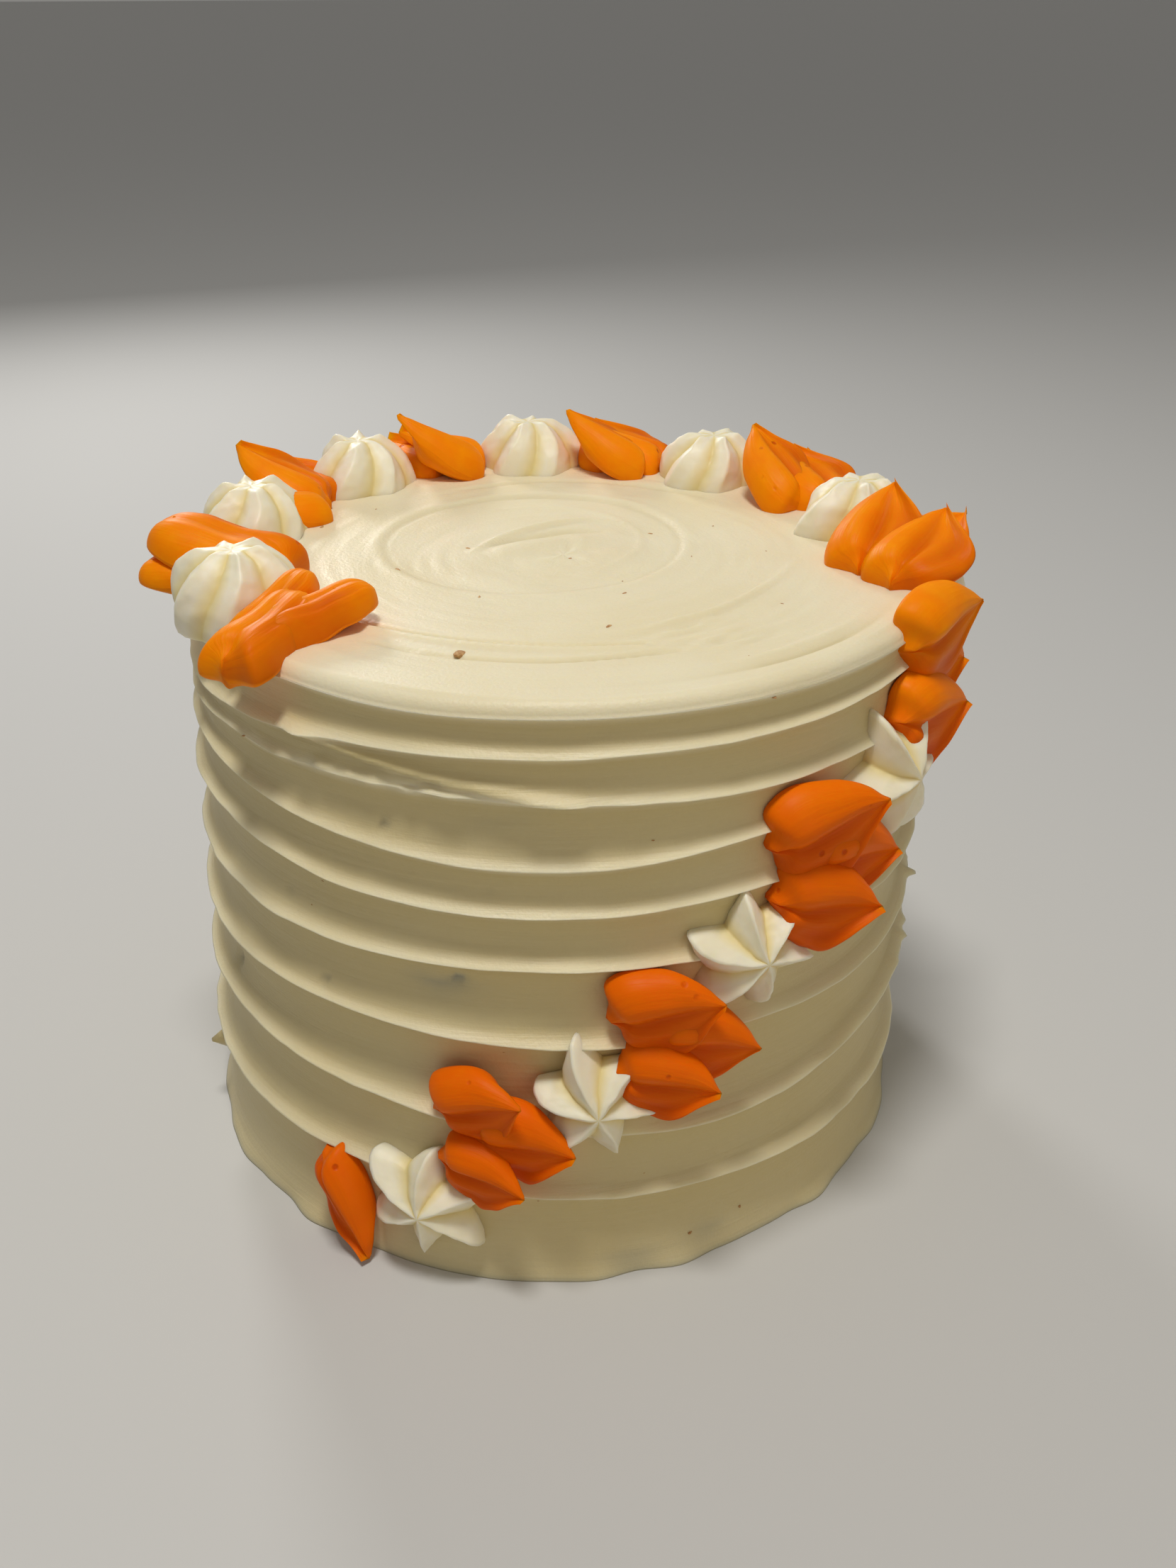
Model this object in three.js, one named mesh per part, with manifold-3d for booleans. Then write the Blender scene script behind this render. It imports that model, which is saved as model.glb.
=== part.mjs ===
// A tall round carrot cake under ridged cream-cheese frosting, with a garland of piped
// orange leaves and cream stars that climbs the wall and runs round the rim.
// Millimetres, +Z up. The origin is the middle of the cake's underside; the front is -Y.
import * as THREE from "three";
import { mergeVertices } from "three/addons/utils/BufferGeometryUtils.js";
import Module from "manifold-3d";

const wasm = await Module();
wasm.setup();

// ---- Driving dimensions ----------------------------------------------------------------

const CAKE = { height: 122, baseRadius: 76, topRadius: 73.5, lean: 3.5, rimRound: 2.5 };

// Crests between the spatula's grooves, from the foot up. Each one is a closed ring:
// tilt raises its right side, sway lifts its left and right together.
const CRESTS = [
  { height: 21, tilt: -1.5, sway: 0.5 },
  { height: 38, tilt: -1, sway: 2 },
  { height: 56, tilt: -1.5, sway: -0.5 },
  { height: 71, tilt: 0, sway: 0 },
  { height: 83, tilt: -1.5, sway: 1 },
  { height: 93, tilt: -1, sway: 1.5 },
  { height: 103.5, tilt: -1.5, sway: 0.5 },
  { height: 112, tilt: 1, sway: -0.8 },
];
const GROOVE_DEPTH_SHARE = 0.12; // how deep a groove is for its width
const CREST_PROUD = 0.8; // how far a crest stands outside the plain wall
const GROOVE_STEPS = 2; // facets from one crest to the next
const CAKE_SIDES = 42;

const GAP = 0.3; // clearance between pieces that touch

// The garland, station by station. Angle is round from the front, + towards the right. Rise
// is measured up the wall and then inwards across the top. Turn is about the way out.
const STATIONS = [
  { kind: "single", angle: -31, rise: 14, turn: 0 },
  { kind: "star", angle: -17.8, rise: 17, turn: -3 },
  { kind: "cluster", angle: -7, rise: 36.5, turn: 4, size: 0.82 },
  { kind: "star", angle: 6, rise: 43.3, turn: 20 },
  { kind: "cluster", angle: 17, rise: 57, turn: -2, size: 0.86 },
  { kind: "star", angle: 28, rise: 70, turn: 12 },
  { kind: "cluster", angle: 39.2, rise: 86, turn: -2, size: 0.97 },
  { kind: "star", angle: 55, rise: 94, turn: 30, size: 1.15 },
  { kind: "topCluster", angle: 65.5, rise: 113, turn: -6 },
  { kind: "star", angle: 80, rise: 116, turn: 0 },
  { kind: "sideCrown", angle: 82, rise: 129, turn: 0 },
  { kind: "star", angle: 104, rise: 132, turn: 10 },
  { kind: "crown", angle: 127, rise: 132, turn: 0 },
  { kind: "star", angle: 147, rise: 133, turn: 40 },
  { kind: "crown", angle: 170, rise: 132, turn: 0 },
  { kind: "star", angle: 188, rise: 129, turn: 25 },
  { kind: "crown", angle: 208, rise: 128, turn: -4 },
  { kind: "star", angle: 224, rise: 127, turn: 5 },
  { kind: "leftCrown", angle: 242, rise: 128, turn: 0 },
  { kind: "star", angle: 258, rise: 129, turn: 50 },
  { kind: "sweptCrown", angle: 276, rise: 129, turn: 0 },
  { kind: "star", angle: 294, rise: 129, turn: 15 },
  { kind: "closing", angle: 308, rise: 128, turn: 0 },
];
const RIM_BEND = 5; // half the length of path that turns over the rim

// How the leaves of a group lie about its station: where, how they point, and how far along
// itself a leaf starts. A slim leaf is a narrow one, and a blunt one ends in a round tongue.
const GROUPS = {
  single: [{ x: -4, y: 6, turn: -66, pitch: 0, slim: 0.54 }],
  cluster: [
    { x: -10, y: 4.5, turn: 10, pitch: 6 },
    { x: -9, y: -7.5, turn: -17, pitch: 6, size: 0.92 },
    { x: -3, y: -1, turn: -14, pitch: 0 },
  ],
  topCluster: [
    { x: -10, y: 4.5, turn: 10, pitch: 6 },
    { x: -12.5, y: -9, turn: -6, pitch: 6, size: 0.95 },
    { x: -3, y: -1, turn: -14, pitch: 0, size: 0.9 },
  ],
  sideCrown: [
    { x: -4, y: 6, turn: -26, pitch: 30, size: 0.92 },
    { x: -12, y: -1, turn: -30, pitch: 22, size: 0.92 },
    { x: 4, y: 0, turn: -60, pitch: 8, size: 0.9 },
  ],
  crown: [
    { x: -8, y: 4, turn: -4, pitch: 30, slim: 0.85 },
    { x: -13, y: -2, turn: -14, pitch: 12, size: 0.9 },
    { x: -2, y: 2, turn: -60, pitch: 4, size: 0.8 },
  ],
  leftCrown: [
    { x: -2, y: 5, turn: -78, pitch: 26 },
    { x: 3, y: 7, turn: -40, pitch: 8, size: 0.85 },
    { x: -5, y: 3, turn: -112, pitch: 4, size: 0.9 },
  ],
  sweptCrown: [
    { x: 16, y: 9, turn: -128, pitch: 14, size: 1.25, slim: 0.85, blunt: true },
    { x: 6, y: 8, turn: -104, pitch: 18, size: 0.95 },
    { x: 12, y: 1, turn: -118, pitch: 0, size: 0.85, slim: 0.8, blunt: true },
  ],
  closing: [
    { x: 8, y: 1, turn: 76, pitch: 8, slim: 0.62, start: -3, blunt: true },
    { x: 1, y: 1, turn: 104, pitch: 18, size: 0.9, slim: 0.62, start: -5, blunt: true },
    { x: 7, y: -1, turn: 106, pitch: 8, size: 1.05, slim: 0.7, start: -11, blunt: true },
  ],
};

const STAR_POINTS = 6;
const STAR_TWIST = 18; // degrees a point turns on its way to the peak
const WALL_STAR = {
  radius: 12.8,
  peak: 5.6,
  notch: 0.5, // how far in the grooves between the points reach
  outline: [
    { share: 0.75, height: -3 },
    { share: 1, height: 0.8 },
    { share: 0.8, height: 3.6 },
    { share: 0.36, height: 5.4 },
  ],
};
const RIM_STAR = {
  radius: 12.2,
  peak: 11.4,
  notch: 0.2,
  outline: [
    { share: 0.9, height: -2 },
    { share: 1, height: 3 },
    { share: 0.88, height: 7 },
    { share: 0.52, height: 10.4 },
  ],
};

const LEAF = { length: 21, width: 17.5, thick: 5.2, crease: 2, lift: 4.5, sunk: 2.5 };
const LEAF_RINGS = 6;
const LEAF_SIDES = 8;

// ---- Closed skins and cuts -------------------------------------------------------------

const radians = THREE.MathUtils.degToRad;
const lerp = THREE.MathUtils.lerp;

// A closed skin of rings between two poles: pointAt(along, around) gives every point.
function closedSkin(rings, sides, pointAt) {
  const points = [pointAt(0, 0)];
  const faces = [];
  for (let ring = 1; ring < rings; ring++) {
    for (let side = 0; side < sides; side++) {
      points.push(pointAt(ring / rings, side / sides));
    }
  }
  points.push(pointAt(1, 0));
  for (let side = 0; side < sides; side++) {
    const next = (side + 1) % sides;
    faces.push(0, 1 + next, 1 + side);
    for (let ring = 1; ring + 1 < rings; ring++) {
      const low = 1 + (ring - 1) * sides;
      faces.push(low + side, low + next, low + sides + next);
      faces.push(low + side, low + sides + next, low + sides + side);
    }
    const last = points.length - 1;
    faces.push(last, last - sides + side, last - sides + next);
  }
  return new THREE.BufferGeometry().setFromPoints(points).setIndex(faces);
}

// The same skin with every point moved out along its normal.
function grown(geometry, amount) {
  const wider = geometry.clone();
  wider.computeVertexNormals();
  const position = wider.getAttribute("position");
  const normal = wider.getAttribute("normal");
  const point = new THREE.Vector3();
  const outwards = new THREE.Vector3();
  for (let i = 0; i < position.count; i++) {
    outwards.fromBufferAttribute(normal, i);
    point.fromBufferAttribute(position, i).addScaledVector(outwards, amount);
    position.setXYZ(i, point.x, point.y, point.z);
  }
  return wider;
}

function solidOf(geometry) {
  const vertProperties = new Float32Array(geometry.getAttribute("position").array);
  const triVerts = new Uint32Array(geometry.getIndex().array);
  return new wasm.Manifold(new wasm.Mesh({ numProp: 3, vertProperties, triVerts }));
}

function geometryOf(solid) {
  const mesh = solid.getMesh();
  const geometry = new THREE.BufferGeometry();
  geometry.setAttribute("position", new THREE.BufferAttribute(mesh.vertProperties, 3));
  geometry.setIndex(new THREE.BufferAttribute(mesh.triVerts, 1));
  return mergeVertices(geometry, 1e-4);
}

// What is left of a piece clear of its neighbours. Only the largest body is kept.
function clearOf(geometry, neighbours) {
  let solid = solidOf(geometry);
  for (const neighbour of neighbours) {
    solid = solid.subtract(solidOf(neighbour).add(solidOf(grown(neighbour, GAP))));
  }
  const bodies = solid.decompose().sort((a, b) => b.volume() - a.volume());
  return geometryOf(bodies[0]);
}

// ---- The frosted cake ------------------------------------------------------------------

function wallRadius(z) {
  return lerp(CAKE.baseRadius, CAKE.topRadius, z / CAKE.height);
}

function axisShift(z) {
  return (CAKE.lean * z) / CAKE.height;
}

// The profile at one angle as [radius, height], from the underside's centre to the top's.
function profileAt(angle) {
  const crestHeights = CRESTS.map(
    (crest) => crest.height + crest.tilt * Math.sin(angle) - crest.sway * Math.cos(2 * angle),
  );
  const levels = [0, ...crestHeights, CAKE.height - CAKE.rimRound];
  const points = [[0, 0]];
  for (let k = 0; k + 1 < levels.length; k++) {
    const width = levels[k + 1] - levels[k];
    for (let step = 0; step < GROOVE_STEPS; step++) {
      const share = step / GROOVE_STEPS;
      const hollow = 4 * share * (1 - share) * GROOVE_DEPTH_SHARE * width;
      const z = levels[k] + share * width;
      points.push([wallRadius(z) + CREST_PROUD - hollow, z]);
    }
  }
  points.push([CAKE.topRadius + CREST_PROUD, CAKE.height - CAKE.rimRound]);
  points.push([CAKE.topRadius, CAKE.height - 0.3 * CAKE.rimRound]);
  points.push([CAKE.topRadius - CAKE.rimRound, CAKE.height]);
  points.push([0, CAKE.height]);
  return points;
}

function cakeGeometry() {
  const rings = profileAt(0).length - 1;
  return closedSkin(rings, CAKE_SIDES, (along, around) => {
    const angle = 2 * Math.PI * around;
    const [r, z] = profileAt(angle)[Math.round(along * rings)];
    return new THREE.Vector3(axisShift(z) + r * Math.sin(angle), -r * Math.cos(angle), z);
  });
}

// ---- Places along the garland ----------------------------------------------------------

// The frame at an angle and a rise: x runs on round the cake, y up the wall or inwards
// over the top, z out of the frosting.
function surfaceFrame(angle, rise) {
  const past = rise - CAKE.height;
  const turn = THREE.MathUtils.clamp((past + RIM_BEND) / (2 * RIM_BEND), 0, 1);
  const z = Math.min(rise, CAKE.height);
  const r = wallRadius(z) - Math.max(past, 0);
  const frame = new THREE.Matrix4().makeRotationZ(radians(angle));
  frame.setPosition(
    axisShift(z) + r * Math.sin(radians(angle)),
    -r * Math.cos(radians(angle)),
    z,
  );
  return frame.multiply(new THREE.Matrix4().makeRotationX(radians(90 * (1 - turn))));
}

// Turn is in the surface, pitch then lifts the far end and roll lifts the left flank.
function placed(geometry, angle, rise, { x = 0, y = 0, z = 0, turn = 0, pitch = 0, roll = 0 }) {
  const local = new THREE.Matrix4().makeRotationFromEuler(
    new THREE.Euler(radians(roll), radians(-pitch), radians(turn), "ZYX"),
  );
  local.setPosition(0, 0, z);
  const r = CAKE.baseRadius;
  const frame = surfaceFrame(angle + THREE.MathUtils.radToDeg(x / r), rise + y);
  return geometry.clone().applyMatrix4(frame.multiply(local));
}

// ---- Piped stars -----------------------------------------------------------------------

function starGeometry({ radius, peak, notch, outline }) {
  const rings = outline.length + 1;
  return closedSkin(rings, 2 * STAR_POINTS, (along, around) => {
    const ring = Math.round(along * rings);
    if (ring === 0) return new THREE.Vector3(0, 0, outline[0].height);
    if (ring === rings) return new THREE.Vector3(0, 0, peak);
    const { share, height } = outline[ring - 1];
    const side = Math.round(around * 2 * STAR_POINTS);
    const reach = radius * share * (side % 2 === 0 ? 1 : 1 - notch);
    const angle = 2 * Math.PI * around + radians((STAR_TWIST * height) / peak);
    return new THREE.Vector3(reach * Math.cos(angle), reach * Math.sin(angle), height);
  });
}

// ---- Piped leaves ----------------------------------------------------------------------

// Half widths of the two flanks, as shares of the leaf's width, from its start to its tip.
const UPPER_FLANK = [0.1, 0.46, 0.54, 0.47, 0.34, 0.18, 0];
const LOWER_FLANK = [0.1, 0.28, 0.46, 0.58, 0.5, 0.2, 0];
const BLUNT_FLANK = [0.1, 0.4, 0.47, 0.47, 0.46, 0.4, 0];

// A leaf lies along x with its upper flank towards y. Its two flanks are thick rolls that
// meet in a crease, and its tip lifts off the frosting.
function leafGeometry({ size = 1, slim = 1, start = 0, blunt = false }) {
  const length = LEAF.length * size;
  const width = LEAF.width * size * slim;
  return closedSkin(LEAF_RINGS, LEAF_SIDES, (along, around) => {
    const ring = Math.round(along * LEAF_RINGS);
    const across = Math.cos(2 * Math.PI * around);
    const side = Math.sin(2 * Math.PI * around);
    const pointed = across > 0 ? UPPER_FLANK[ring] : LOWER_FLANK[ring];
    const flank = blunt ? BLUNT_FLANK[ring] : pointed;
    const rise = (blunt ? 0.4 : 1) * LEAF.lift * along * along;
    const round = Math.sin(Math.PI * Math.min(1, 0.15 + 0.75 * along));
    const crease = LEAF.crease * (1 - Math.abs(across)) * Math.sin(Math.PI * along);
    const top = rise + round * LEAF.thick * Math.abs(side) ** 0.5 - crease;
    const bottom = along < 0.75 ? -LEAF.sunk * Math.abs(side) : rise - 0.6 * Math.abs(side);
    const back = 0.12 * length * Math.abs(across) * (1 - along) ** 2;
    return new THREE.Vector3(
      start + length * along - back,
      width * flank * across,
      side >= 0 ? top : bottom,
    );
  });
}

// ---- The scene -------------------------------------------------------------------------

const FINISHES = {
  frosting: { color: 0xf0ead2, roughness: 0.5 },
  starCream: { color: 0xf6f1df, roughness: 0.45 },
  leafOrange: { color: 0xe8750a, roughness: 0.4 },
};

const cake = new THREE.Group();
cake.name = "carrot_cake";

function addMesh(name, geometry, finish) {
  const mesh = new THREE.Mesh(geometry, new THREE.MeshStandardMaterial(FINISHES[finish]));
  mesh.name = name;
  cake.add(mesh);
}

const body = cakeGeometry();
addMesh("frosted_cake", body, "frosting");

// Each piece is cut clear of the cake and of the pieces piped before it nearby.
const pieces = [];
let starCount = 0;
let leafCount = 0;
for (const { kind, angle, rise, turn, size = 1 } of STATIONS) {
  if (kind === "star") {
    const star = starGeometry(rise < CAKE.height ? WALL_STAR : RIM_STAR).scale(size, size, size);
    starCount += 1;
    const name = `star_${String(starCount).padStart(2, "0")}`;
    pieces.push({ name, finish: "starCream", geometry: placed(star, angle, rise, { turn }) });
    continue;
  }
  for (const leaf of GROUPS[kind]) {
    leafCount += 1;
    const name = `leaf_${String(leafCount).padStart(2, "0")}`;
    const place = { ...leaf, turn: leaf.turn + turn };
    const form = { ...leaf, size: (leaf.size ?? 1) * size };
    const geometry = placed(leafGeometry(form), angle, rise, place);
    pieces.push({ name, finish: "leafOrange", geometry });
  }
}

const NEAR = 30; // pieces whose middles are closer than this may touch
pieces.forEach((piece) => piece.geometry.computeBoundingSphere());
pieces.forEach((piece, index) => {
  const here = piece.geometry.boundingSphere.center;
  const near = pieces
    .slice(0, index)
    .filter((other) => other.geometry.boundingSphere.center.distanceTo(here) < NEAR)
    .map((other) => other.geometry);
  addMesh(piece.name, clearOf(piece.geometry, [body, ...near]), piece.finish);
});

export default cake;
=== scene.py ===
# %% [markdown]
# # A piped carrot cake
# A tall round cake under cream-cheese frosting. A spatula has left ridges round its wall, and a
# garland of orange leaves and cream stars climbs the wall and then follows the rim. The packed
# model gives every piece its place and size. This lesson gives each one its real surface.

# %% Load the frame
import math

import bpy
import numpy as np
from mathutils import Matrix, Vector


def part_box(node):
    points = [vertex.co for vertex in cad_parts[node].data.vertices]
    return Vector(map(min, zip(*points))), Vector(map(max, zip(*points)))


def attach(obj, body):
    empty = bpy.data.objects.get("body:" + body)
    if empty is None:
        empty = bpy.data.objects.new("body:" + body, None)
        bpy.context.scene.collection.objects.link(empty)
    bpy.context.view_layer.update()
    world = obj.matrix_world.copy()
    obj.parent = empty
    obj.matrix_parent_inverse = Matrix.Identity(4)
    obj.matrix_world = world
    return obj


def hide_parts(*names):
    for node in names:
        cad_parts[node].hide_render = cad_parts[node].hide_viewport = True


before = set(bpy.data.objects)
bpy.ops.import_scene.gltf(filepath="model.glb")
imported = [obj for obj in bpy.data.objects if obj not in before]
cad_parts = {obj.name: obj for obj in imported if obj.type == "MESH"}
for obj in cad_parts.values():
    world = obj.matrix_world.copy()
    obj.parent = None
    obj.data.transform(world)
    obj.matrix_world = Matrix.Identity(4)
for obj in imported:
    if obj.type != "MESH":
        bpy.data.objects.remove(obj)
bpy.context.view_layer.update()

# %% [markdown]
# ## The camera
# It stands close in front of the cake, a hand's width above its top, and looks down at it. From
# so near, the front of the rim looks larger than the back, so the distance matters as much as
# the lens: both are set, and not only one of them.

# %% Set up the camera
CAMERA_PLACE = (0.0082, -0.2944, 0.2227)
CAMERA_DOWN = 27.57  # degrees below level
CAMERA_ROLL = -0.29  # degrees

camera_data = bpy.data.cameras.new("Camera")
camera_data.lens = 34.8
camera_data.sensor_width = 36
camera_data.clip_start = 0.01
camera = bpy.data.objects.new("Camera", camera_data)
camera.location = CAMERA_PLACE
look_down = Matrix.Rotation(math.radians(90 - CAMERA_DOWN), 4, "X")
lean_over = Matrix.Rotation(math.radians(CAMERA_ROLL), 4, "Z")
camera.rotation_euler = (look_down @ lean_over).to_euler()
bpy.context.collection.objects.link(camera)
bpy.context.scene.camera = camera
print("The camera looks down by", CAMERA_DOWN, "degrees")

# %% [markdown]
# ## Sizes
# All lengths are millimetres while a piece is shaped, and become metres when its mesh is made.
# The cake is a little narrower at its top, and its top sits slightly to the right of its foot.

# %% Name the cake's sizes
MM = 0.001
CAKE_HEIGHT = 122.0
BASE_RADIUS = 76.0
TOP_RADIUS = 73.5
LEAN = 3.5  # how far the top's middle stands to the right of the foot's


def wall_radius(z):
    """The plain wall's radius at a height."""
    return BASE_RADIUS + (TOP_RADIUS - BASE_RADIUS) * z / CAKE_HEIGHT


def axis_shift(z):
    """How far the leaning cake's middle has moved to the right at a height."""
    return LEAN * z / CAKE_HEIGHT


print("Foot", 2 * BASE_RADIUS, "mm across, top", 2 * TOP_RADIUS, "mm across")

# %% [markdown]
# ## Smooth curves and soft noise
# A hand-made surface is never exact, so many sizes here drift. One helper draws a smooth curve
# through a few chosen values. Another gives soft noise that closes on itself round the cake:
# random values on a grid, blended smoothly between its points, always from a fixed seed.


# %% Write the curve and the noise
def smooth_curve(values, t, closed=False):
    """A Catmull-Rom curve through evenly spaced values, read at t from 0 to 1."""
    values = np.asarray(values, float)
    count = len(values) if closed else len(values) - 1
    x = np.clip(t, 0, 1) * count
    cell = np.minimum(np.floor(x).astype(int), count - 1)
    f = x - cell

    def pick(step):
        index = cell + step
        return values[index % len(values)] if closed else values[np.clip(index, 0, count)]

    p0, p1, p2, p3 = pick(-1), pick(0), pick(1), pick(2)
    bend = (2 * p0 - 5 * p1 + 4 * p2 - p3) * f**2 + (3 * p1 - p0 - 3 * p2 + p3) * f**3
    return p1 + 0.5 * ((p2 - p0) * f + bend)


def soft_noise(around, along, cells, seed):
    """Noise from -1 to 1. Around runs from 0 to 1 and closes over a whole number of cells."""
    grid = np.random.default_rng(seed).uniform(-1, 1, (cells, 97))
    x = around * cells
    i, j = np.floor(x).astype(int), np.floor(along).astype(int)
    f, g = x - i, along - j
    f, g = f * f * (3 - 2 * f), g * g * (3 - 2 * g)
    near = grid[i % cells, j % 97] * (1 - g) + grid[i % cells, (j + 1) % 97] * g
    far = grid[(i + 1) % cells, j % 97] * (1 - g) + grid[(i + 1) % cells, (j + 1) % 97] * g
    return near * (1 - f) + far * f


def bump_at(distance, width):
    """A soft bump, 1 at no distance and almost 0 beyond twice its width."""
    return np.exp(-((distance / width) ** 2))


quarter, middle = smooth_curve([0, 1, 0], np.array([0.25, 0.5]))
print("A curve through 0, 1, 0 is", quarter, "at a quarter and", middle, "in the middle")

# %% [markdown]
# ## From points to a mesh
# The cake and every leaf are one skin of rings between two poles. One helper takes the rings as
# an array and closes both ends with a fan. Another links a finished mesh as a piece of the cake.
# It measures the volume first: a negative one means that the faces look inwards, and they are
# turned round.


# %% Write the mesh maker
def closed_skin(name, first, rings, last):
    """A closed mesh from rings of points, shaped (ring, side, 3), and its two poles, in mm."""
    ring_count, sides = rings.shape[:2]
    points = np.vstack([[first], rings.reshape(-1, 3), [last]]) * MM
    side = np.arange(sides)
    after = (side + 1) % sides
    quads = []
    for ring in range(ring_count - 1):
        low, high = 1 + ring * sides, 1 + (ring + 1) * sides
        quads.append(np.column_stack([low + side, low + after, high + after, high + side]))
    top = len(points) - 1
    final = 1 + (ring_count - 1) * sides
    fans = [[0, 1 + b, 1 + a] for a, b in zip(side, after)]
    fans += [[final + a, final + b, top] for a, b in zip(side, after)]
    faces = np.vstack(quads).tolist() + [[int(i) for i in fan] for fan in fans]
    mesh = bpy.data.meshes.new(name)
    mesh.from_pydata(points.tolist(), [], faces)
    mesh.shade_smooth()
    return mesh


def volume_of(mesh):
    """The signed volume inside a mesh in cubic centimetres: positive if its faces look out."""
    mesh.calc_loop_triangles()
    corners = np.zeros(len(mesh.vertices) * 3)
    mesh.vertices.foreach_get("co", corners)
    triangles = np.zeros(len(mesh.loop_triangles) * 3, int)
    mesh.loop_triangles.foreach_get("vertices", triangles)
    a, b, c = corners.reshape(-1, 3)[triangles.reshape(-1, 3)].transpose(1, 0, 2)
    return float(np.einsum("ij,ij->i", a, np.cross(b, c)).sum() / 6 * 1e6)


def set_attribute(mesh, name, values):
    """Stores one number, or one vector, for each vertex."""
    kind, key = ("FLOAT", "value") if np.ndim(values) == 1 else ("FLOAT_VECTOR", "vector")
    attribute = mesh.attributes.new(name, kind, "POINT")
    attribute.data.foreach_set(key, np.ravel(values).astype(np.float32))


def add_piece(name, mesh, material, replaces=()):
    """Links a finished mesh as a piece that rides on the cake, its faces outwards."""
    if volume_of(mesh) < 0:
        mesh.flip_normals()
    piece = bpy.data.objects.new(name, mesh)
    bpy.context.collection.objects.link(piece)
    mesh.materials.clear()
    mesh.materials.append(material)
    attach(piece, "root")
    if replaces:
        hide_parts(*replaces)


print("Ready to make skins")

# %% [markdown]
# ## Shader sums as Python sums
# A finish here is a mix of patterns. A small class wraps a node's socket, so that a sum written
# in Python adds the Math nodes for it. The same class serves the star's Geometry Nodes later.


# %% Write the node helper
class Value:
    """A node's output that takes part in Python sums."""

    def __init__(self, tree, socket):
        self.tree, self.socket = tree, socket

    def math(self, operation, *others):
        sockets = dict(enumerate((self, *others)))
        return add_node(self.tree, "ShaderNodeMath", {"operation": operation}, sockets)

    def __add__(self, other):
        return self.math("ADD", other)

    def __mul__(self, other):
        return self.math("MULTIPLY", other)

    def __sub__(self, other):
        return self.math("SUBTRACT", other)

    def __rsub__(self, other):
        return (self * -1) + other

    def __pow__(self, other):
        return self.math("POWER", other)

    __radd__, __rmul__ = __add__, __mul__


def add_node(tree, kind, settings=None, inputs=None, output=0):
    """Adds one node: its settings first, then a value or a link for each socket."""
    node = tree.nodes.new(kind)
    for key, value in (settings or {}).items():
        if key == "stops":
            ramp = node.color_ramp
            while len(ramp.elements) < len(value):
                ramp.elements.new(1)
            for element, (place, shade) in zip(ramp.elements, value):
                element.position = place
                element.color = (shade, shade, shade, 1)
        else:
            setattr(node, key, value)
    for key, value in (inputs or {}).items():
        if isinstance(value, Value):
            tree.links.new(value.socket, node.inputs[key])
        else:
            node.inputs[key].default_value = value
    return Value(tree, node.outputs[output]) if node.outputs else node


def mix_colors(tree, share, first, second):
    """First where share is 0 and second where it is 1."""
    settings = {"data_type": "RGBA", "clamp_factor": True}
    return add_node(tree, "ShaderNodeMix", settings, {0: share, 6: first, 7: second}, output=2)


def noise(tree, where, scale, detail=3, roughness=0.5):
    """Soft clouds from 0 to 1."""
    inputs = {"Vector": where, "Scale": scale, "Detail": detail, "Roughness": roughness}
    return add_node(tree, "ShaderNodeTexNoise", None, inputs)


def ramp(tree, value, *stops):
    """A value passed through stops, each a place and its shade."""
    return add_node(tree, "ShaderNodeValToRGB", {"stops": stops}, {0: value})


def bumped(tree, height, strength, distance, under=None):
    """A normal that follows a height, on top of the normal under it."""
    inputs = {"Height": height, "Strength": strength, "Distance": distance}
    if under:
        inputs["Normal"] = under
    return add_node(tree, "ShaderNodeBump", None, inputs)


def new_material(name):
    material = bpy.data.materials.new(name)
    material.use_nodes = True
    material.node_tree.nodes.clear()
    return material, material.node_tree


def finish_surface(tree, inputs):
    """Adds the shader with its sockets and joins it to the output."""
    shader = add_node(tree, "ShaderNodeBsdfPrincipled", None, inputs)
    add_node(tree, "ShaderNodeOutputMaterial", None, {"Surface": shader})


def attribute(tree, name, output="Fac"):
    return add_node(tree, "ShaderNodeAttribute", {"attribute_name": name}, output=output)


def object_place(tree):
    return add_node(tree, "ShaderNodeTexCoord", output="Object")


print("Nodes can be added from sums")

# %% [markdown]
# ## The frosting's finish
# Cream-cheese frosting is a warm off-white, soft and slightly see-through: light sinks in a few
# millimetres and comes out yellower. The spatula draws fine streaks along its path, so the streaks
# follow an attribute named sweep, which runs round the cake, and not the room's axes. Three more
# attributes colour it: painted shade, darker and yellower, in the hollows and creases; the thin
# places where the crumb coat shows; and an orange tint by the leaves, partly a real stain and
# partly painted light bounced off them.

# %% Make the frosting's material
CREAM = (0.82, 0.755, 0.55, 1)
CREAM_WARM = (0.71, 0.585, 0.31, 1)
CREAM_HOLLOW_SHADE = (0.60, 0.485, 0.225, 1)
STAIN_AND_BOUNCE = (0.86, 0.58, 0.32, 1)
CRUMB_COAT = (0.27, 0.28, 0.24, 1)

frosting, tree = new_material("Cream_frosting")
place = object_place(tree)
sweep = attribute(tree, "sweep", "Vector")
streaks = noise(tree, sweep, 1.0, 4, 0.6)
pores = noise(tree, place, 1400, 2)
clouds = noise(tree, place, 26, 3)
color = mix_colors(tree, ramp(tree, clouds, (0.35, 0), (0.75, 0.45)), CREAM, CREAM_WARM)
# Painted shade: the hollows and creases are darker and yellower.
color = mix_colors(tree, attribute(tree, "groove"), color, CREAM_HOLLOW_SHADE)
color = mix_colors(tree, attribute(tree, "thin"), color, CRUMB_COAT)
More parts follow.
